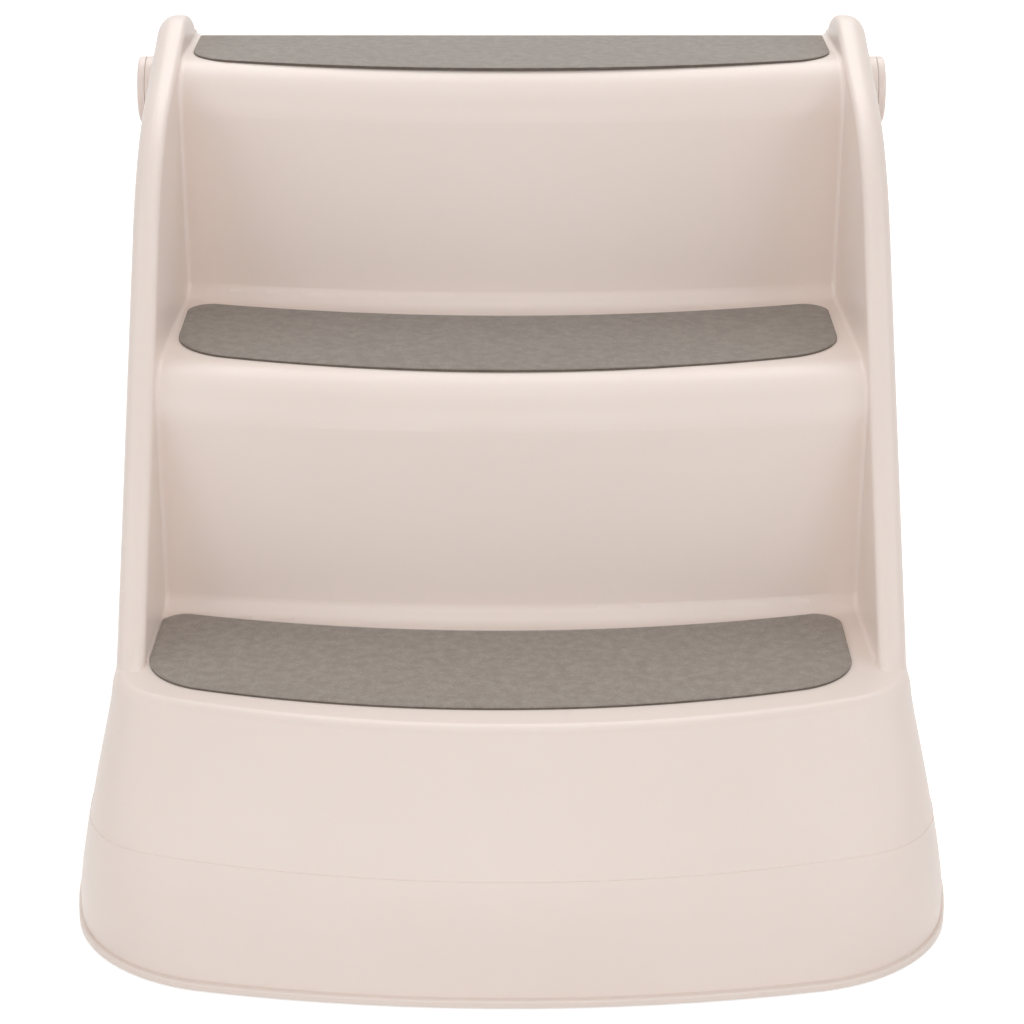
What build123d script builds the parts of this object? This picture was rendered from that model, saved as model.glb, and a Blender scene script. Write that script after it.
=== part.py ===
from build123d import *
import math
import os

# Folding pet stairs: a moulded shell with three treads, and a hinged prop that holds up its high end.
# Lengths are in mm. While the pieces are shaped, y runs back from a line just behind the base's front
# edge, z is the height above the floor, and x is 0 on the middle plane. The last step centres y.

# Overall places
base_front = -3.5
base_length = 246
prop_reach = 600
floor_gap = 1
wall = 3
overrun = 20

# Steps, in the middle plane
tread_count = 3
first_tread_height = 136
step_rise = 135
first_riser_place = 184
step_run = 149
riser_lean = 6
nose_radius = 28
tread_root_radius = 10
corner_radius = 2.5
inner_corner_fade = 12
bow_radius = 971
bow_angle = 40

# Inner faces of the rails: the rails' thickness at one point, and how these faces slope
rail_thickness = 16.8
cheek_height = 140
cheek_place = 200
cheek_draft = 1.15
cheek_toe_in = 1.72

# Rails: outer face, edge roundings, and the corners of their top edge in side view
rail_half_width = 209.3
rail_toe_in = 0.3
rail_outer_rounding = 10.5
rail_inner_rounding = 3.8
rail_hollow_drop = 8
rail_start = 110
rail_start_height = 134.5
rail_foot_place = 119.8
rail_foot_height = 137.8
rail_foot_radius = 30
rail_bend_place = 290.5
rail_bend_height = 380.2
rail_bend_radius = 150

# Hub at the high end, on the hinge axis
hub_place = 424
hub_height = 380
hub_radius = 44
apron_depth = 50

# Skirt: its plan outline at the floor and at the first tread, and how it changes in between.
# Each row holds the shares of the height, the flare, the lean, the depth of the bow and the corner.
rail_shoulder = 2.2
base_flare = 22.9
base_bow_depth = 152
base_corner = 92
base_bow_radius = 732
tread_setback = 44
tread_bow_depth = 86
tread_corner = 44
tread_bow_radius = 485
side_bow_radius = 346
skirt_shares = [
    (0, 0, 0, 0, 0),
    (0.243, 0.148, 0.084, 0.33, 0.39),
    (0.485, 0.454, 0.215, 0.66, 0.75),
    (0.662, 0.672, 0.438, 0.86, 0.90),
    (0.838, 0.891, 0.731, 0.95, 0.96),
    (1, 1, 1, 1, 1),
]
skirt_nose_radius = 7
skirt_band_height = 66
skirt_band_step = 0.5
rim_width = 3
rim_height = 3.8
rim_rounding = 1.2

# Ribs under the treads
rib_thickness = 2.2
rib_depth = 11
rib_pitch = 44
ribs_each_side = 4
cross_rib_lead = 56

# Hinge pins, with their washers and screws
boss_radius = 19.7
boss_height = 8
boss_rounding = 1
inner_boss_radius = 17
inner_boss_height = 2
pin_radius = 8
pin_head_height = 4.3
pin_head_rounding = 1.4
washer_radius = 14
washer_thickness = 1.6
screw_radius = 2.5
screw_length = 24
screw_head_radius = 5.5
screw_head_height = 3.2
screw_socket_radius = 2.3
screw_socket_depth = 1.8

# Prop: arms, panel and floor bar, shaped hanging straight down from the hinge
arm_width = 20
arm_half_depth = 11
arm_hub_radius = 20
heel_length = 24
panel_start = 118
panel_wall = 3
panel_window_start = 165
panel_window_end = 285
panel_window_half_width = 105
panel_corner_radius = 22
panel_rib_pitch = 52
panel_ribs_each_side = 3
panel_cross_rib_shares = (0.15, 0.35, 0.80)
floor_bar_depth = 34
floor_bar_height = 30
floor_bar_rounding = 5

# Rubber feet
foot_radius = 9
foot_recess = 2.5
foot_stem_radius = 3.5
foot_stem_length = 9
foot_rounding = 0.8
foot_boss_radius = 13
foot_boss_height = 15
front_foot_inset = 83
front_foot_place = 34
side_foot_inset = 15.5
side_foot_place = 212
rear_foot_inset = 39.7

# Mats
mat_side_gap = 6.9
mat_thickness = 1.2
mat_front_bow = 66
mat_front_corner = 43
mat_depth = 103
mat_back_bow = 28
mat_back_corner = 10
mat_edge_rounding = 0.4
bottom_mat_place = 65
bottom_mat_shift = -4.2
middle_mat_place = 212
middle_mat_shift = -2
top_mat_side_gap = 5.2
top_mat_front_bow = 51
top_mat_front_corner = 30
top_mat_depth = 93
top_mat_back_corner = 1.5
top_mat_place = 357.5

# Clearances
side_play = 0.3
heel_gap = 0.3
pin_running_gap = 0.08
pin_fixed_gap = 0.05
foot_fit_gap = 0.1
stem_end_gap = 0.2

# Places that follow from the sizes above
cheek_half_width = rail_half_width - rail_thickness
skirt_half_width = rail_half_width + rail_shoulder
base_half_width = skirt_half_width + base_flare
boss_face = rail_half_width + boss_height
foot_thickness = floor_gap + foot_recess
tread_heights = [first_tread_height + step * step_rise for step in range(tread_count)]
riser_places = [first_riser_place + step * step_run for step in range(tread_count - 1)]
top_tread_height = tread_heights[-1]
crown_height = hub_height + hub_radius
rear_end = hub_place + hub_radius
beyond = rear_end + overrun
bow_centre = first_riser_place + bow_radius
hub = (hub_place, hub_height)
rail_foot = (rail_foot_place, rail_foot_height)
rail_bend = (rail_bend_place, rail_bend_height)
hollow_half_width = rail_half_width - wall
arm_outer = hollow_half_width - inner_boss_height - side_play
arm_inner = arm_outer - arm_width
pin_end = arm_inner - side_play
front_foot_side = base_half_width - front_foot_inset
side_foot_side = base_half_width - side_foot_inset
rear_foot_side = arm_outer - rear_foot_inset
rear_foot_place = prop_reach - floor_bar_depth / 2
prop_run = rear_foot_place - hub_place
prop_drop = hub_height - floor_gap - floor_bar_height / 2
prop_angle = math.degrees(math.atan2(prop_run, prop_drop))
panel_end = math.hypot(prop_run, prop_drop)
side = Plane.YZ


def tangent_point(outside, centre, radius, turn):
    """Where a line from an outside point touches a circle; turn is 1 or -1 for the two sides."""
    dy = outside[0] - centre[0]
    dz = outside[1] - centre[1]
    angle = math.atan2(dz, dy) + turn * math.acos(radius / math.hypot(dy, dz))
    return (centre[0] + radius * math.cos(angle), centre[1] + radius * math.sin(angle))


def bow_radius_for(half_width, depth, corner):
    """Radius of the front arc that runs smoothly into corner arcs of a given radius."""
    return (half_width**2 - 2 * half_width * corner + depth**2) / (2 * (depth - corner))


def bowed_edge(half_width, front, depth, corner):
    """A bowed front edge: one wide arc that runs into a smaller corner arc at each side."""
    wide = bow_radius_for(half_width, depth, corner)
    corner_x = half_width - corner
    corner_y = front + depth
    toward = math.atan2(corner_y - front - wide, corner_x)
    meet = (wide * math.cos(toward), front + wide + wide * math.sin(toward))
    middle = toward / 2
    turn = (corner_x + corner * math.cos(middle), corner_y + corner * math.sin(middle))
    arcs = [
        ThreePointArc((-half_width, corner_y), (-turn[0], turn[1]), (-meet[0], meet[1])),
        ThreePointArc((-meet[0], meet[1]), (0, front), meet),
        ThreePointArc(meet, turn, (half_width, corner_y)),
    ]
    return Curve() + arcs


def crossing(first, first_radius, second, second_radius):
    """Where two circles meet, at the right of the line from the first centre to the second."""
    dx = second[0] - first[0]
    dy = second[1] - first[1]
    apart = math.hypot(dx, dy)
    along = (first_radius**2 - second_radius**2 + apart**2) / (2 * apart)
    across = math.sqrt(first_radius**2 - along**2)
    return (first[0] + (along * dx - across * dy) / apart, first[1] + (along * dy + across * dx) / apart)


def on_circle(centre, toward, radius):
    """The point of a circle that lies in the direction of another point."""
    apart = math.dist(centre, toward)
    return tuple(start + (end - start) * radius / apart for start, end in zip(centre, toward))


def skirt_face(size, grow, back, height):
    """A plan outline of the skirt, grown outwards: front arc, corner arcs, side arcs, straight rear."""
    half_width, front, depth, corner, front_radius = size
    ahead = (0, front + front_radius)
    beside = (half_width - side_bow_radius, front + depth)
    middle = crossing(ahead, front_radius - corner, beside, side_bow_radius - corner)
    side_start = (half_width + grow, front + depth)
    turn = on_circle(beside, middle, side_bow_radius + grow)
    meet = on_circle(ahead, middle, front_radius + grow)
    halfway = ((turn[0] + side_start[0]) / 2, (turn[1] + side_start[1]) / 2)
    on_side = on_circle(beside, halfway, side_bow_radius + grow)
    halfway = ((turn[0] + meet[0]) / 2, (turn[1] + meet[1]) / 2)
    on_corner = on_circle(middle, halfway, corner + grow)
    right = [ThreePointArc(meet, on_corner, turn), ThreePointArc(turn, on_side, side_start)]
    left = [mirror(arc, Plane.YZ) for arc in right]
    bow = ThreePointArc((-meet[0], meet[1]), (0, front - grow), meet)
    corners = [side_start, (side_start[0], back), (-side_start[0], back), (-side_start[0], side_start[1])]
    return Pos(0, 0, height) * make_face(Curve() + [bow] + right + left + Polyline(*corners))


def skirt_outline(shares):
    """Height, and then the plan sizes of the skirt, at one row of shares."""
    up, flare, lean, bow, corner = shares
    start = base_front + rim_width
    return first_tread_height * up, (
        base_half_width + (skirt_half_width - base_half_width) * flare,
        start + (tread_setback - start) * lean,
        base_bow_depth + (tread_bow_depth - base_bow_depth) * bow,
        base_corner + (tread_corner - base_corner) * corner,
        base_bow_radius + (tread_bow_radius - base_bow_radius) * bow,
    )


def skirt_body(grow, top_grow, drop, back):
    """The flared skirt as a solid, grown outwards, and by another amount at its top."""
    sections = []
    for shares in skirt_shares:
        height, size = skirt_outline(shares)
        outwards = top_grow if shares[0] == 1 else grow
        sections.append(skirt_face(size, outwards, back, height if sections else -drop))
    return loft(sections)


def step_path(grow, start, end):
    """The line of treads and risers in the middle plane, moved out of the material by grow."""
    corners = [(start, first_tread_height + grow)]
    radii = []
    for lower, upper, place in zip(tread_heights, tread_heights[1:], riser_places):
        corners.append((place - grow, lower + grow))
        corners.append((place + riser_lean - grow, upper + grow))
        radii += [tread_root_radius - grow, nose_radius + grow]
    corners.append((end, top_tread_height + grow))
    return FilletPolyline(*corners, radius=radii)


def bowed_solid(path, level):
    """The region between the step line and one level, turned about the bow's upright axis."""
    ends = Polyline(path @ 1, ((path @ 1).X, level), ((path @ 0).X, level), path @ 0)
    face = side * make_face(path + ends)
    start = Rot(0, 0, -bow_angle / 2)
    axis = Axis((0, bow_centre, 0), (0, 0, 1))
    turned = Pos(0, bow_centre, 0) * start * Pos(0, -bow_centre, 0) * face
    return revolve(turned, axis, bow_angle)


def both_sides(body):
    """A body and its mirror image on the other side."""
    return body + mirror(body, Plane.YZ)


def outside_face(point, toe_in, draft):
    """Everything outside a nearly upright face on the right, which leans and narrows towards the rear."""
    slope_back = math.tan(math.radians(toe_in))
    slope_up = math.tan(math.radians(draft))
    face = Plane(point, z_dir=(1, slope_back, -slope_up))
    reach = 3 * prop_reach
    return face * Box(reach, reach, reach, align=(Align.CENTER, Align.CENTER, Align.MIN))


def outside_cheek(outset):
    """Everything outside the inner face of the right rail, moved outwards by outset."""
    return outside_face((cheek_half_width + outset, cheek_place, cheek_height), cheek_toe_in, cheek_draft)


def outside_rail(outset):
    """Everything outside the outer face of the right rail, moved outwards by outset."""
    return outside_face((rail_half_width + outset, hub_place, hub_height), rail_toe_in, 0)


def between_cheeks(body, outset):
    """A body cut down to the space between the two rails."""
    right = outside_cheek(outset)
    return body - right - mirror(right, Plane.YZ)


def side_outline():
    """Side view of a rail and the side below it, from the rail's top edge to the slanted rear edge."""
    top = tangent_point(rail_bend, hub, hub_radius, -1)
    low = tangent_point((base_length, 0), hub, hub_radius, 1)
    start = (rail_start, rail_start_height)
    crest = FilletPolyline(start, rail_foot, rail_bend, top, radius=[rail_foot_radius, rail_bend_radius])
    end = ThreePointArc(crest @ 1, (rear_end, hub_height), low)
    rest = Polyline(end @ 1, (base_length, 0), (rail_start, 0), start)
    return make_face(crest + end + rest)


def ahead_of_rear_edge():
    """Side view of all that lies ahead of the slanted rear edge and the round hub end."""
    low = tangent_point((base_length, 0), hub, hub_radius, 1)
    run = (low[0] - base_length) / low[1]
    below = (base_length - run * overrun, -overrun)
    high = crown_height + overrun
    top = (hub_place, crown_height)
    end = ThreePointArc(top, (rear_end, hub_height), low)
    rest = Polyline(low, below, (-overrun, -overrun), (-overrun, high), (hub_place, high), top)
    return make_face(end + rest)


def rail():
    """The right rail: a plate with a large outer and a small inner rounding along its top edge."""
    plate = extrude(side * side_outline(), base_half_width) & outside_cheek(0)
    plate -= outside_rail(0)
    for face, rounding in ((-1, rail_outer_rounding), (0, rail_inner_rounding)):
        edges = plate.faces().sort_by(Axis.X)[face].edges()
        edges = [edge for edge in edges if edge.center().Z > wall and edge.center().Y > rail_start + wall]
        plate = fillet(edges, rounding)
    return plate


def hinge_cylinder(radius, start, end):
    """A cylinder on the hinge axis, between two distances from the middle plane."""
    return extrude(Plane.YZ.offset(start) * (Pos(*hub) * Circle(radius)), end - start)


def upright_cylinder(radius, place, start, end):
    """An upright cylinder at a place in plan, between two heights."""
    return extrude(Pos(*place, start) * Circle(radius), end - start)


def block(left, right, front, back, low, high):
    """A box between two places on each axis."""
    middle = ((left + right) / 2, (front + back) / 2, (low + high) / 2)
    return Pos(*middle) * Box(right - left, back - front, high - low)


def hub_boss():
    """The round boss that stands out of the side, and that the head of the hinge pin rests on."""
    boss = hinge_cylinder(boss_radius, hollow_half_width, boss_face)
    return fillet(boss.edges().sort_by(Axis.X)[-1], boss_rounding)


def rim():
    """The lip around the foot of the skirt."""
    height, size = skirt_outline(skirt_shares[0])
    body = extrude(skirt_face(size, rim_width, rear_end, height), floor_gap + rim_height)
    return fillet(body.faces().sort_by(Axis.Z)[-1].edges(), rim_rounding)


def skirt():
    """The skirt with its rounded nose, and the lower band that stands out a little."""
    body = skirt_body(0, 0, 0, rear_end)
    nose = [edge for edge in body.faces().sort_by(Axis.Z)[-1].edges() if edge.center().Y < hub_place]
    low = block(-prop_reach, prop_reach, -prop_reach, prop_reach, 0, skirt_band_height)
    return fillet(nose, skirt_nose_radius) + (skirt_body(skirt_band_step, skirt_band_step, 0, rear_end) & low)


def step_core():
    """The solid under the treads and risers, raised by the roundings along the rails that the tray leaves."""
    raised = 1.5 * corner_radius
    body = bowed_solid(step_path(raised, rail_start, beyond), first_tread_height / 2)
    start = rail_foot_place + 2 * rail_inner_rounding
    end = start + inner_corner_fade
    low = first_tread_height
    high = first_tread_height + raised
    ahead = Polyline((0, low), (start, low), (end, high), (end, 2 * high), (0, 2 * high), (0, low))
    body -= extrude(side * make_face(ahead), prop_reach, both=True)
    return between_cheeks(body, 1.5 * rail_inner_rounding)


def outer_body():
    """The shell's outside as one solid, before its hollow is taken out."""
    body = skirt() + rim() + step_core() + both_sides(rail())
    body = body & extrude(side * ahead_of_rear_edge(), 2 * rail_half_width, both=True)
    body = body - block(-prop_reach, prop_reach, -prop_reach, prop_reach, -overrun, floor_gap)
    return body + both_sides(hub_boss())


def tray():
    """The open space above the treads and between the rails, with rounded inner corners."""
    top = crown_height + overrun
    space = between_cheeks(bowed_solid(step_path(0, rail_start - wall, beyond), top), 0)
    corners = []
    for edge in space.edges():
        middle = edge.center()
        along = rail_start + overrun < middle.Y < beyond
        if along and abs(middle.X) > cheek_half_width / 2 and middle.Z < crown_height:
            corners.append(edge)
    return fillet(corners, corner_radius)


def under_skin():
    """Everything above the underside of the treads and risers, and inside the rails' inner walls."""
    return between_cheeks(bowed_solid(step_path(-wall, -overrun, beyond), crown_height + overrun), wall)


def ribs(above):
    """The lengthwise and crosswise ribs that hang from the underside of the treads."""
    half = rib_thickness / 2
    reach = ribs_each_side * rib_pitch
    plates = []
    for number in range(ribs_each_side):
        place = (number + 0.5) * rib_pitch
        plates.append(block(place - half, place + half, 0, rear_end, 0, crown_height))
        plates.append(block(-place - half, -place + half, 0, rear_end, 0, crown_height))
    for riser in riser_places + [riser_places[-1] + step_run]:
        place = riser - cross_rib_lead
        plates.append(block(-reach, reach, place - half, place + half, 0, crown_height))
    return Pos(0, 0, -rib_depth) * above & Compound(plates)


def foot_holders():
    """The round bosses that hold the shell's rubber feet, each with a web to the nearest wall."""
    top = floor_gap + foot_boss_height
    front = upright_cylinder(foot_boss_radius, (front_foot_side, front_foot_place), floor_gap, top)
    front += block(front_foot_side - wall, front_foot_side + wall, 0, front_foot_place, floor_gap, top)
    beside = upright_cylinder(foot_boss_radius, (side_foot_side, side_foot_place), floor_gap, top)
    beside += block(side_foot_side, prop_reach, side_foot_place - wall, side_foot_place + wall, floor_gap, top)
    return both_sides(front) + both_sides(beside)


def foot_hole(place):
    """The recess for a rubber foot and the blind hole for its stem."""
    top = floor_gap + foot_recess
    recess = upright_cylinder(foot_radius + foot_fit_gap, place, 0, top)
    depth = top + foot_stem_length + stem_end_gap
    return recess + upright_cylinder(foot_stem_radius + pin_fixed_gap, place, 0, depth)


def hollow():
    """The space inside the shell, open at the bottom and the rear, around everything that hangs in it."""
    above = under_skin()
    low = skirt_body(-wall, -wall - rail_shoulder, overrun, beyond)
    low &= block(-prop_reach, prop_reach, -overrun, prop_reach, -2 * overrun, first_tread_height - wall)

    inner = offset(side_outline(), -rail_hollow_drop)
    ceiling = crown_height - rail_hollow_drop
    below = ((beyond, -overrun), (base_length - overrun, -overrun))
    rear = Polyline(hub, (hub_place, ceiling), (beyond, ceiling), *below, hub)
    high = extrude(side * (inner + make_face(rear)), base_half_width, both=True)
    high = high - outside_rail(-wall) - mirror(outside_rail(-wall), Plane.YZ)

    skin = block(-prop_reach, prop_reach, hub_place, beyond, top_tread_height - apron_depth, beyond)
    skin -= hinge_cylinder(hub_radius - wall, -prop_reach, prop_reach)
    seats = both_sides(hinge_cylinder(inner_boss_radius, hollow_half_width - inner_boss_height, rail_half_width))
    return low + high - above - ribs(above) - skin - seats - foot_holders()


def stair_shell():
    """The moulded shell: treads, risers, double-walled rails, flared skirt, ribs and bosses."""
    shell = outer_body() - tray() - hollow()
    shell -= both_sides(hinge_cylinder(pin_radius + pin_fixed_gap, 0, 2 * rail_half_width))
    for place in ((front_foot_side, front_foot_place), (side_foot_side, side_foot_place)):
        shell -= both_sides(foot_hole(place))
    return shell


def prop_outline(inset):
    """Front view of the prop hanging straight down: two arms, a panel and its window."""
    opening = arm_inner + inset
    frame = Pos(0, -panel_end / 2) * Rectangle(2 * (arm_outer - inset), panel_end)
    top = Pos(0, (inset - panel_start) / 2 + overrun)
    height = panel_start + inset + 2 * overrun
    frame -= top * RectangleRounded(2 * opening, height, panel_corner_radius)
    window = panel_window_end - panel_window_start + 2 * inset
    centre = Pos(0, -(panel_window_start + panel_window_end) / 2)
    return frame - centre * RectangleRounded(2 * (panel_window_half_width + inset), window, panel_corner_radius)


def prop_frame():
    """Arms and panel as a tray that is open towards the front, with ribs in it."""
    half = rib_thickness / 2
    depth = 2 * arm_half_depth
    frame = extrude(Plane.XZ.offset(-arm_half_depth) * prop_outline(0), depth)
    pocket = extrude(Plane.XZ.offset(panel_wall - arm_half_depth) * prop_outline(panel_wall), depth)
    front = panel_wall - arm_half_depth
    for number in range(panel_ribs_each_side):
        place = (number + 0.5) * panel_rib_pitch
        rib = block(place - half, place + half, front, arm_half_depth, -panel_end, -arm_hub_radius)
        pocket -= both_sides(rib)
    for share in panel_cross_rib_shares:
        level = -share * panel_end
        pocket -= block(-arm_outer, arm_outer, front, arm_half_depth, level - half, level + half)
    return frame - pocket


def floor_bar():
    """The bar across the lower end of the prop, open towards the front, with its feet's bosses."""
    front = prop_reach - floor_bar_depth
    top = floor_gap + floor_bar_height
    bar = block(-arm_outer, arm_outer, front, prop_reach, floor_gap, top)
    rear = [edge for edge in bar.edges().filter_by(Axis.X) if edge.center().Y > rear_foot_place]
    bar = fillet(rear, floor_bar_rounding)
    inner = arm_outer - panel_wall
    pocket = block(-inner, inner, front - overrun, prop_reach - panel_wall, floor_gap + panel_wall, top - panel_wall)
    level = floor_gap + foot_boss_height
    start = rear_foot_side - foot_boss_radius
    end = rear_foot_side + foot_boss_radius
    pocket -= both_sides(block(start, end, front, prop_reach, floor_gap, level))
    for number in range(panel_ribs_each_side):
        place = (number + 0.5) * panel_rib_pitch
        half = rib_thickness / 2
        pocket -= both_sides(block(place - half, place + half, front, prop_reach, floor_gap, top))
    return bar - pocket - both_sides(foot_hole((rear_foot_side, rear_foot_place)))


def rear_support():
    """The prop that carries the high end: hubs, arms, ribbed panel, floor bar and stop heels."""
    prop = Pos(0, *hub) * Rot(prop_angle, 0, 0) * prop_frame()
    bar_top = floor_gap + floor_bar_height
    prop -= block(-prop_reach, prop_reach, 0, 2 * prop_reach, -prop_reach, bar_top - panel_wall)
    heel_top = top_tread_height - wall - heel_gap
    heel = block(arm_inner, arm_outer, hub_place, hub_place + heel_length, hub_height, heel_top)
    ends = hinge_cylinder(arm_hub_radius, arm_inner, arm_outer) + heel
    prop = prop + floor_bar() + both_sides(ends)
    return prop - both_sides(hinge_cylinder(pin_radius + pin_running_gap, 0, prop_reach))


def pivot_pin():
    """The right hinge pin: a wide round head outside, and a shaft with a screw hole in its end."""
    head = hinge_cylinder(boss_radius, boss_face, boss_face + pin_head_height)
    head = fillet(head.edges().sort_by(Axis.X)[-1], pin_head_rounding)
    hole = hinge_cylinder(screw_radius + pin_fixed_gap, 0, pin_end + screw_length)
    return head + hinge_cylinder(pin_radius, pin_end, boss_face) - hole


def pivot_washer():
    """The washer on the inner end of the right pin, which keeps the prop's arm on it."""
    ring = hinge_cylinder(washer_radius, pin_end - washer_thickness, pin_end)
    return ring - hinge_cylinder(screw_radius + pin_fixed_gap, 0, pin_end)


def pivot_screw():
    """The socket screw that holds the washer to the right pin."""
    seat = pin_end - washer_thickness
    head = hinge_cylinder(screw_head_radius, seat - screw_head_height, seat)
    socket = Plane.YZ.offset(seat - screw_head_height) * (Pos(*hub) * RegularPolygon(screw_socket_radius, 6))
    head -= extrude(socket, screw_socket_depth)
    return head + hinge_cylinder(screw_radius, seat, seat + screw_length)


def rubber_foot(place):
    """A push-in rubber foot: a round pad on the floor with a stem above it."""
    pad = upright_cylinder(foot_radius, place, 0, foot_thickness)
    pad = fillet(pad.edges().sort_by(Axis.Z)[0], foot_rounding)
    return pad + upright_cylinder(foot_stem_radius, place, foot_thickness, foot_thickness + foot_stem_length)


def laid_mat(front, back, corner, place):
    """A mat on its tread: front edge, straight sides, back edge, rounded back corners and top edge."""
    sides = Polyline(front @ 1, back @ 0) + Polyline(back @ 1, front @ 0)
    outline = make_face(front + sides + back)
    outline = fillet(outline.vertices().group_by(Axis.Y)[-1], corner)
    body = extrude(Pos(*place) * outline, mat_thickness)
    return fillet(body.faces().sort_by(Axis.Z)[-1].edges(), mat_edge_rounding)


def lower_mat(place, shift, tread):
    """A mat in front of a riser: its back edge follows the bow of the riser."""
    half_width = cheek_half_width - mat_side_gap
    rear = mat_depth + mat_back_bow
    front = bowed_edge(half_width, 0, mat_front_bow, mat_front_corner)
    back = ThreePointArc((half_width, rear), (0, mat_depth), (-half_width, rear))
    return laid_mat(front, back, mat_back_corner, (shift, place, tread_heights[tread]))


def top_mat():
    """The mat on the top tread, with a straight back edge."""
    half_width = cheek_half_width - top_mat_side_gap
    front = bowed_edge(half_width, 0, top_mat_front_bow, top_mat_front_corner)
    back = Line((half_width, top_mat_depth), (-half_width, top_mat_depth))
    return laid_mat(front, back, top_mat_back_corner, (0, top_mat_place, top_tread_height))


def on_the_left(body):
    """The left piece of a pair."""
    return mirror(body, Plane.YZ)


front_foot = rubber_foot((front_foot_side, front_foot_place))
side_foot = rubber_foot((side_foot_side, side_foot_place))
rear_foot = rubber_foot((rear_foot_side, rear_foot_place))
pieces = {
    "stair_shell": stair_shell(),
    "bottom_tread_mat": lower_mat(bottom_mat_place, bottom_mat_shift, 0),
    "middle_tread_mat": lower_mat(middle_mat_place, middle_mat_shift, 1),
    "top_tread_mat": top_mat(),
    "rear_support": rear_support(),
    "right_pivot_pin": pivot_pin(),
    "left_pivot_pin": on_the_left(pivot_pin()),
    "right_pivot_washer": pivot_washer(),
    "left_pivot_washer": on_the_left(pivot_washer()),
    "right_pivot_screw": pivot_screw(),
    "left_pivot_screw": on_the_left(pivot_screw()),
    "front_right_foot": front_foot,
    "front_left_foot": on_the_left(front_foot),
    "side_right_foot": side_foot,
    "side_left_foot": on_the_left(side_foot),
    "rear_right_foot": rear_foot,
    "rear_left_foot": on_the_left(rear_foot),
}
os.makedirs("parts", exist_ok=True)
for name, piece in pieces.items():
    export_step(Pos(0, -(base_front + prop_reach) / 2, 0) * piece, f"parts/{name}.step")
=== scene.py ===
import math

import bmesh
import bpy
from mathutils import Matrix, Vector


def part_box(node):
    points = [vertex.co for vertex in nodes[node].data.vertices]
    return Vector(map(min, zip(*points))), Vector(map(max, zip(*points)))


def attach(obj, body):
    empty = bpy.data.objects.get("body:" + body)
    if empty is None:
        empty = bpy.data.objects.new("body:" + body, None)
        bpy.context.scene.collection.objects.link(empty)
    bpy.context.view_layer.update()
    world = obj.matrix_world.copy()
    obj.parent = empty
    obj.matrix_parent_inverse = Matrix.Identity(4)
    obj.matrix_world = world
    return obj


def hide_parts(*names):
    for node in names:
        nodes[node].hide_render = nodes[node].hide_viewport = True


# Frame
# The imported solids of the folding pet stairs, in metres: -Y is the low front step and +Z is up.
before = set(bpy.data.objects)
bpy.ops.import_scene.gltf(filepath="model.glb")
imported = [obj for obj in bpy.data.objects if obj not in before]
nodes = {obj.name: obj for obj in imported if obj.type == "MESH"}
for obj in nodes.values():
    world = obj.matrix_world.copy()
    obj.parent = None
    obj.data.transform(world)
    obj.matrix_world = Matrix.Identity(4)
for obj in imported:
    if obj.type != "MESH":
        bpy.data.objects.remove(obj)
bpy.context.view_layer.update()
MM = 0.001


# Camera
# The photograph was taken from straight ahead and a little above, with a long lens,
# so that all three treads show and the rails hardly converge.
DEGREES_DOWN = 20.5

camera_data = bpy.data.cameras.new("photo_camera")
camera_data.sensor_width = 36
camera_data.lens = 105.1
camera_data.shift_x = 0.0005
camera_data.clip_end = 30
camera = bpy.data.objects.new("photo_camera", camera_data)
camera.location = (0, -1.63595, 0.7691)
camera.rotation_euler = (math.radians(90 - DEGREES_DOWN), 0, 0)
bpy.context.scene.collection.objects.link(camera)
bpy.context.scene.camera = camera
bpy.context.scene.view_settings.view_transform = "Standard"


# Studio
# A wide pale floor under a white sky, and large soft lamps: high behind, overhead, low in front,
# and two on either hand. The floor takes the shadow of the stairs and runs into the white behind.
def linear(hex_colour):
    """An sRGB hex colour as the linear red, green, blue and alpha that the shaders take."""
    out = []
    for start in (0, 2, 4):
        value = int(hex_colour[start:start + 2], 16) / 255
        out.append(value / 12.92 if value <= 0.04045 else ((value + 0.055) / 1.055) ** 2.4)
    return (*out, 1.0)


def add_node(tree, kind, links=None, values=None, **settings):
    """Adds a node: links and values go to its inputs, by name or number, and settings to its properties."""
    node = tree.nodes.new(kind)
    for name, value in settings.items():
        setattr(node, name, value)
    for key, value in (values or {}).items():
        node.inputs[key].default_value = value
    for key, source in (links or {}).items():
        tree.links.new(source, node.inputs[key])
    return node


def new_material(name):
    """An empty node material and its tree."""
    material = bpy.data.materials.new(name)
    material.use_nodes = True
    material.node_tree.nodes.clear()
    return material, material.node_tree


def dress(obj, material):
    """Gives an object one material over its whole surface."""
    obj.data.materials.clear()
    obj.data.materials.append(material)


def seen_rays(tree):
    """1 for the rays that show the background: the camera's own, mirrored and passing through."""
    ray = add_node(tree, "ShaderNodeLightPath")
    seen = ray.outputs["Is Camera Ray"]
    for kind in ("Is Glossy Ray", "Is Transmission Ray"):
        either = add_node(tree, "ShaderNodeMath", {0: seen, 1: ray.outputs[kind]}, operation="MAXIMUM")
        seen = either.outputs[0]
    return seen


# the numbers of a colour Mix node's two colour inputs
FIRST, SECOND = 6, 7
WHITE = linear("ffffff")
# the floor's half width in metres, and the size in millimetres of the faint clouds in its paint
FLOOR_HALF = 9.0
FLOOR_CLOUD = 25
# the strength of the sky's light on the stairs, which is less than the white that shows
SKY_LIGHT = 0.28

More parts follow.
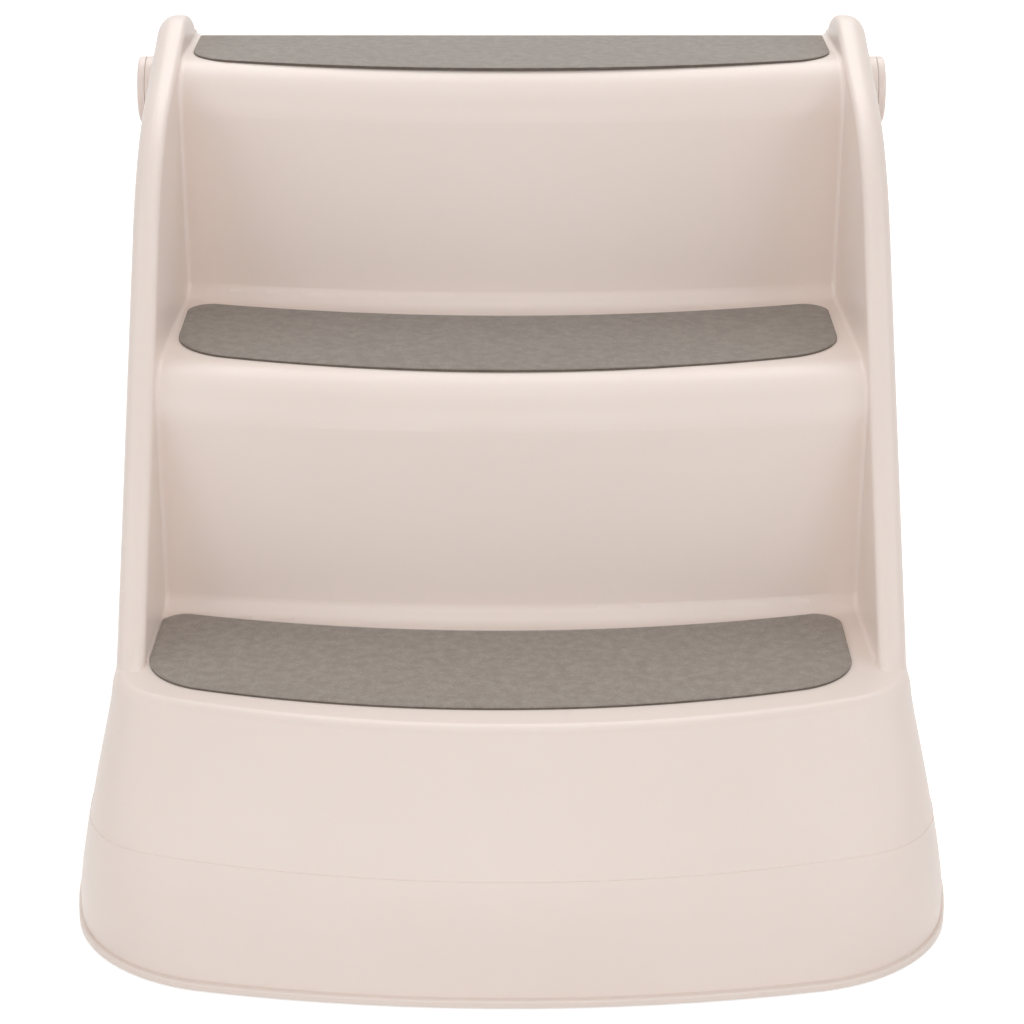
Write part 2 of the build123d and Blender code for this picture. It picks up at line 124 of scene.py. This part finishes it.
floor_material, tree = new_material("painted_studio_floor")
place = add_node(tree, "ShaderNodeTexCoord").outputs["Object"]
cloud = add_node(
    tree, "ShaderNodeTexNoise", {"Vector": place}, {"Scale": 1 / (FLOOR_CLOUD * MM), "Detail": 4.0}
)
tone = add_node(
    tree,
    "ShaderNodeMix",
    {"Factor": cloud.outputs["Fac"]},
    {FIRST: linear("e4e3e2"), SECOND: linear("e8e7e6")},
    data_type="RGBA",
)
paint = add_node(tree, "ShaderNodeBsdfPrincipled", {"Base Color": tone.outputs[2]}, {"Roughness": 0.9})
# beyond the reach of the lamps the floor is lifted further, so that it stays as white as the sky
reach = add_node(tree, "ShaderNodeVectorMath", {"Vector": place}, operation="LENGTH")
fade = add_node(
    tree,
    "ShaderNodeMapRange",
    {"Value": reach.outputs["Value"]},
    {"From Min": 0.9, "From Max": 3.0, "To Min": 0.6, "To Max": 1.0},
)
seen = seen_rays(tree)
lift = add_node(tree, "ShaderNodeMath", {0: seen, 1: fade.outputs["Result"]}, operation="MULTIPLY")
glow = add_node(tree, "ShaderNodeEmission", {"Strength": lift.outputs[0]}, {"Color": WHITE})
both = add_node(tree, "ShaderNodeAddShader", {0: paint.outputs[0], 1: glow.outputs[0]})
add_node(tree, "ShaderNodeOutputMaterial", {"Surface": both.outputs[0]})

floor_mesh = bpy.data.meshes.new("studio_floor")
corners = [(x * FLOOR_HALF, y * FLOOR_HALF, 0) for x, y in ((-1, -1), (1, -1), (1, 1), (-1, 1))]
floor_mesh.from_pydata(corners, [], [(0, 1, 2, 3)])
floor = bpy.data.objects.new("studio_floor", floor_mesh)
bpy.context.scene.collection.objects.link(floor)
dress(floor, floor_material)

world = bpy.data.worlds.new("white_sky")
world.use_nodes = True
tree = world.node_tree
tree.nodes.clear()
sky_light = add_node(tree, "ShaderNodeBackground", values={"Color": WHITE, "Strength": SKY_LIGHT})
sky_seen = add_node(tree, "ShaderNodeBackground", values={"Color": WHITE, "Strength": 1.0})
seen = seen_rays(tree)
sky = add_node(tree, "ShaderNodeMixShader", {0: seen, 1: sky_light.outputs[0], 2: sky_seen.outputs[0]})
add_node(tree, "ShaderNodeOutputWorld", {"Surface": sky.outputs[0]})
bpy.context.scene.world = world

# each lamp: name, place, width in metres and power in watts; all face the middle of the stairs
LAMP_TARGET = Vector((0, 0, 0.25))
lamps = [
    ("high_back_lamp", (0, 1.2, 2.2), 1.8, 28),
    ("overhead_lamp", (0, -0.7, 2.3), 0.9, 4.5),
    ("low_front_lamp", (0, -3.0, 0.95), 1.8, 18),
    ("left_front_lamp", (-1.9, -2.3, 1.3), 1.6, 11),
    ("right_front_lamp", (1.9, -2.3, 1.3), 1.6, 11),
    ("left_side_lamp", (-2.5, -0.6, 1.2), 1.6, 10.5),
    ("right_side_lamp", (2.5, -0.6, 1.2), 1.6, 10.5),
]
for name, position, width, power in lamps:
    data = bpy.data.lights.new(name, "AREA")
    data.size = width
    data.energy = power
    lamp = bpy.data.objects.new(name, data)
    lamp.location = position
    lamp.rotation_euler = (LAMP_TARGET - Vector(position)).to_track_quat("-Z", "Y").to_euler()
    bpy.context.scene.collection.objects.link(lamp)


# Stair shell
# One large moulding of polypropylene: three treads and two risers between double-walled rails,
# and a flared skirt with a rim at the floor. The tool's fine satin grain covers all of it.

# the sizes in millimetres of the etched grain, and of the broad clouds where the melt flowed;
# the real grain is about 0.2 and too fine to show, so it is drawn as coarse as it needs to be
GRAIN = 1.1
FLOW = 140


def moulded_polypropylene(name, light, dark):
    """Cream polypropylene from a satin-etched tool: a soft broad sheen with a fine grain in it."""
    material, tree = new_material(name)
    place = add_node(tree, "ShaderNodeTexCoord").outputs["Object"]
    cloud = add_node(
        tree, "ShaderNodeTexNoise", {"Vector": place}, {"Scale": 1 / (FLOW * MM), "Detail": 3.0}
    )
    grain = add_node(
        tree, "ShaderNodeTexNoise", {"Vector": place}, {"Scale": 1 / (GRAIN * MM), "Detail": 2.0}
    )
    tone = add_node(
        tree,
        "ShaderNodeMix",
        {"Factor": cloud.outputs["Fac"]},
        {FIRST: linear(light), SECOND: linear(dark)},
        data_type="RGBA",
    )
    rough = add_node(
        tree, "ShaderNodeMapRange", {"Value": cloud.outputs["Fac"]}, {"To Min": 0.34, "To Max": 0.44}
    )
    bump = add_node(
        tree, "ShaderNodeBump", {"Height": grain.outputs["Fac"]}, {"Strength": 0.25, "Distance": 0.06 * MM}
    )
    surface = add_node(
        tree,
        "ShaderNodeBsdfPrincipled",
        {
            "Base Color": tone.outputs[2],
            "Roughness": rough.outputs["Result"],
            "Normal": bump.outputs["Normal"],
        },
        {
            "IOR": 1.49,
            "Subsurface Weight": 0.12,
            "Subsurface Radius": (1.0, 0.6, 0.4),
            "Subsurface Scale": 3 * MM,
        },
    )
    add_node(tree, "ShaderNodeOutputMaterial", {"Surface": surface.outputs[0]})
    return material


shell_plastic = moulded_polypropylene("satin_moulded_polypropylene", "eee1d9", "eadbd2")
dress(nodes["stair_shell"], shell_plastic)


# Rear support
# A second moulding of the same polypropylene: two hinged arms, a ribbed panel with a hand window
# and a bar along the floor. It turns on the two pins in the shell's hubs.
dress(nodes["rear_support"], shell_plastic)


# Hinge pins
# Two short pins moulded in the same cream plastic. Each goes through a hub of the shell
# and an arm of the support, and its wide round head stays outside.
pin_plastic = moulded_polypropylene("satin_moulded_pin_plastic", "ede0d9", "e9dad2")
for hand in ("left", "right"):
    dress(nodes[hand + "_pivot_pin"], pin_plastic)


# Washers and screws
# Zinc-plated steel washers, each held on a pin's inner end by a socket screw.
# The plating gives a cool, slightly blotchy shine.

# the size in millimetres of the plating's blotches
BLOTCH = 3

zinc_steel, tree = new_material("zinc_plated_steel")
place = add_node(tree, "ShaderNodeTexCoord").outputs["Object"]
blotch = add_node(
    tree, "ShaderNodeTexNoise", {"Vector": place}, {"Scale": 1 / (BLOTCH * MM), "Detail": 3.0}
)
tone = add_node(
    tree,
    "ShaderNodeMix",
    {"Factor": blotch.outputs["Fac"]},
    {FIRST: linear("c3c6c8"), SECOND: linear("a9adb0")},
    data_type="RGBA",
)
rough = add_node(
    tree, "ShaderNodeMapRange", {"Value": blotch.outputs["Fac"]}, {"To Min": 0.28, "To Max": 0.42}
)
surface = add_node(
    tree,
    "ShaderNodeBsdfPrincipled",
    {"Base Color": tone.outputs[2], "Roughness": rough.outputs["Result"]},
    {"Metallic": 1.0},
)
add_node(tree, "ShaderNodeOutputMaterial", {"Surface": surface.outputs[0]})
for hand in ("left", "right"):
    dress(nodes[hand + "_pivot_washer"], zinc_steel)
    dress(nodes[hand + "_pivot_screw"], zinc_steel)


# Rubber feet
# Six push-in feet of dark thermoplastic rubber, four under the shell and two under the support.
# Moulded rubber is matt, with a faint bloom on it.

# the size in millimetres of the bloom's clouds
BLOOM = 4

foot_rubber, tree = new_material("matt_moulded_rubber")
place = add_node(tree, "ShaderNodeTexCoord").outputs["Object"]
bloom = add_node(
    tree, "ShaderNodeTexNoise", {"Vector": place}, {"Scale": 1 / (BLOOM * MM), "Detail": 4.0}
)
tone = add_node(
    tree,
    "ShaderNodeMix",
    {"Factor": bloom.outputs["Fac"]},
    {FIRST: linear("3a3836"), SECOND: linear("4a4745")},
    data_type="RGBA",
)
bump = add_node(
    tree, "ShaderNodeBump", {"Height": bloom.outputs["Fac"]}, {"Strength": 0.3, "Distance": 0.05 * MM}
)
surface = add_node(
    tree,
    "ShaderNodeBsdfPrincipled",
    {"Base Color": tone.outputs[2], "Normal": bump.outputs["Normal"]},
    {"Roughness": 0.75, "IOR": 1.52},
)
add_node(tree, "ShaderNodeOutputMaterial", {"Surface": surface.outputs[0]})
for position in ("front", "side", "rear"):
    for hand in ("left", "right"):
        dress(nodes[f"{position}_{hand}_foot"], foot_rubber)


# Tread mats
# Three mats die-cut from a short, dense polyester needle-felt and stuck flat on the treads.
# The felt is a mottled grey-brown. Its cut edge takes a darker copy of the felt, which is painted shade
# along the mat's sides.

# the sizes in millimetres of the felt's fibres, its pale flecks and its mottle; real fibres are
# under 0.1 and too fine to show, so they and the flecks are drawn as coarse as they need to be
FIBRE = 1.1
FLECK = 1.6
MOTTLE = 6


def needled_felt(name, light, dark, fibre_tone, fleck_tone):
    """Short needle-felt: matt, mottled by its mixed fibres, with pale flecks where loops stand up."""
    material, tree = new_material(name)
    place = add_node(tree, "ShaderNodeTexCoord").outputs["Object"]
    mottle = add_node(
        tree, "ShaderNodeTexNoise", {"Vector": place}, {"Scale": 1 / (MOTTLE * MM), "Detail": 3.0}
    )
    fibre = add_node(
        tree,
        "ShaderNodeTexNoise",
        {"Vector": place},
        {"Scale": 1 / (FIBRE * MM), "Detail": 4.0, "Roughness": 0.65},
    )
    fleck = add_node(
        tree,
        "ShaderNodeTexNoise",
        {"Vector": place},
        {"Scale": 1 / (FLECK * MM), "Detail": 2.0, "Distortion": 1.2},
    )
    # each layer over the one before: its pattern, the noise values between which it sets in,
    # its strength and its colour
    layers = [
        (mottle, 0.33, 0.67, 1.0, dark),
        (fibre, 0.32, 0.68, 0.75, fibre_tone),
        (fleck, 0.56, 0.78, 0.3, fleck_tone),
    ]
    below = None
    for pattern, start, full, strength, colour in layers:
        share = add_node(
            tree,
            "ShaderNodeMapRange",
            {"Value": pattern.outputs["Fac"]},
            {"From Min": start, "From Max": full, "To Max": strength},
        )
        links = {"Factor": share.outputs["Result"]}
        if below:
            links[FIRST] = below.outputs[2]
        colours = {FIRST: linear(light), SECOND: linear(colour)}
        below = add_node(tree, "ShaderNodeMix", links, colours, data_type="RGBA")
    bump = add_node(
        tree, "ShaderNodeBump", {"Height": fibre.outputs["Fac"]}, {"Strength": 0.7, "Distance": 0.35 * MM}
    )
    surface = add_node(
        tree,
        "ShaderNodeBsdfPrincipled",
        {"Base Color": below.outputs[2], "Normal": bump.outputs["Normal"]},
        {"Roughness": 0.95, "Sheen Weight": 0.3, "Sheen Roughness": 0.5},
    )
    add_node(tree, "ShaderNodeOutputMaterial", {"Surface": surface.outputs[0]})
    return material


felt_top = needled_felt("needled_polyester_felt", "9f958b", "8a7f75", "7d7269", "b9afa5")
# the middle mat's felt is a darker copy of the same felt: painted shade on the middle tread
middle_felt_painted_shade = needled_felt("needled_polyester_felt_painted_shade", "92887e", "7d7369", "71665d", "aaa096")
# the cut edge's felt is darker than the top's: painted shade along the mat's sides
edge_felt_painted_shade = needled_felt("die_cut_felt_edge_painted_shade", "6f655d", "61584f", "524942", "7d736a")

# where the rail's inner face stands, in the shell's own mm: its distance from the middle at one place
# and height, and the degrees by which it closes in towards the back and opens upwards
RAIL_FACE = 192.5
RAIL_FACE_PLACE = 200
RAIL_FACE_HEIGHT = 140
RAIL_TOE_IN = 1.72
RAIL_DRAFT = 1.15
# the moulded fillet beside the rail, the least gap between felt and rail, and how far in the felt lifts
FILLET = 2.5
RIM_CLEAR = 1.1
RIM_LIFT = 3
# how far forward of the frame's origin the shell's own zero lies, and how far behind its front edge
# a mat's middle is
ROW_CENTRE = 298.25
MAT_MIDDLE = 50
# the steps from a mat's middle to each side
EDGE_STEPS = 48
# each ring of a mat: how far in from the cut edge, its height above the tread, and its material:
# 1 is the cut edge, in the darker felt of painted shade, and 0 the top
FELT_THICKNESS = 1.2
RINGS = [
    (0, 0.02, 1),
    (0, 0.55, 1),
    (0.08, 1.0, 1),
    (0.4, FELT_THICKNESS, 0),
    (2.9, FELT_THICKNESS, 0),
    (20, FELT_THICKNESS, 0),
]


def mat_outline(half, bow, corner, depth, back_bow, back_corner):
    """A mat's plan outline in mm: the bowed front from left to right, then the back from right to left.

    half is half the width, and depth the distance between the edges' middles. The front's corner arcs
    end at the sides, bow behind its middle. The back's ends lie up to back_bow behind its middle.
    """
    # the front's wide arc runs into a corner arc at each side, and has one tangent with it there
    wide = (half**2 - 2 * half * corner + bow**2) / (2 * (bow - corner))
    corner_x = half - corner
    meet = wide * math.cos(math.atan2(bow - wide, corner_x))
    round_start = half - back_corner
    front = []
    back = []
    for step in range(-EDGE_STEPS, EDGE_STEPS + 1):
        x = half * math.sin(math.pi / 2 * step / EDGE_STEPS)
        if abs(x) < meet:
            front.append((x, wide - math.sqrt(wide**2 - x**2)))
        else:
            front.append((x, bow - math.sqrt(max(corner**2 - (abs(x) - corner_x) ** 2, 0))))
        inside = min(abs(x), round_start)
        drop = back_corner - math.sqrt(max(back_corner**2 - (abs(x) - inside) ** 2, 0))
        back.append((x, depth + back_bow * (inside / half) ** 2 - drop))
    return front + back[::-1]


def cut_mat(name, node, felt, outline, shift):
    """A felt mat cut to an outline in mm, moved to the side by shift and stuck where its solid lies."""
    solid_low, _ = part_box(node)
    place = round(solid_low.y / MM + ROW_CENTRE, 2)
    tread = round(solid_low.z / MM, 2)
    toe_in = math.tan(math.radians(RAIL_TOE_IN))
    opening = (tread - RAIL_FACE_HEIGHT) * math.tan(math.radians(RAIL_DRAFT))
    points = []
    for x, y in outline:
        y = y + place
        # the moulded fillet beside the rail lifts the rim of a mat that reaches it
        rail_face = RAIL_FACE - (y - RAIL_FACE_PLACE) * toe_in + opening
        reach = rail_face - RIM_CLEAR
        x = max(-reach, min(reach, x + shift))
        away = max(rail_face - abs(x), 0)
        lift = FILLET - math.sqrt(FILLET**2 - (FILLET - away) ** 2) if away < FILLET else 0
        points.append((x, y - ROW_CENTRE, lift))
    centre = Vector((shift, place + MAT_MIDDLE - ROW_CENTRE, 0))
    mesh = bmesh.new()
    rings = []
    for inset, height, part in RINGS:
        ring = []
        for x, y, lift in points:
            flat = Vector((x, y, 0))
            inward = centre - flat
            spot = flat + inward * min(inset / inward.length, 1)
            rise = tread + height + (lift if inset < RIM_LIFT else 0)
            ring.append(mesh.verts.new((spot.x * MM, spot.y * MM, rise * MM)))
        rings.append((ring, part))
    for (lower, _), (upper, part) in zip(rings, rings[1:]):
        for index in range(len(lower)):
            after = (index + 1) % len(lower)
            face = mesh.faces.new((lower[index], lower[after], upper[after], upper[index]))
            face.material_index = part
            face.smooth = part == 0
    mesh.faces.new(rings[-1][0])
    mesh.faces.new(rings[0][0][::-1]).material_index = 1
    data = bpy.data.meshes.new(name)
    mesh.to_mesh(data)
    mesh.free()
    data.materials.append(felt)
    data.materials.append(edge_felt_painted_shade)
    obj = bpy.data.objects.new(name, data)
    bpy.context.scene.collection.objects.link(obj)
    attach(obj, "stairs")
    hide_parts(node)


bottom_outline = mat_outline(half=187.3, bow=66, corner=43, depth=103, back_bow=28, back_corner=14)
middle_outline = mat_outline(half=185.6, bow=66, corner=43, depth=102.5, back_bow=28, back_corner=14)
top_outline = mat_outline(half=187.3, bow=51, corner=30, depth=93, back_bow=0.01, back_corner=1.5)
cut_mat("bottom_felt_mat", "bottom_tread_mat", felt_top, bottom_outline, shift=-5.8)
cut_mat("middle_felt_mat", "middle_tread_mat", middle_felt_painted_shade, middle_outline, shift=-2)
cut_mat("top_felt_mat", "top_tread_mat", felt_top, top_outline, shift=0)
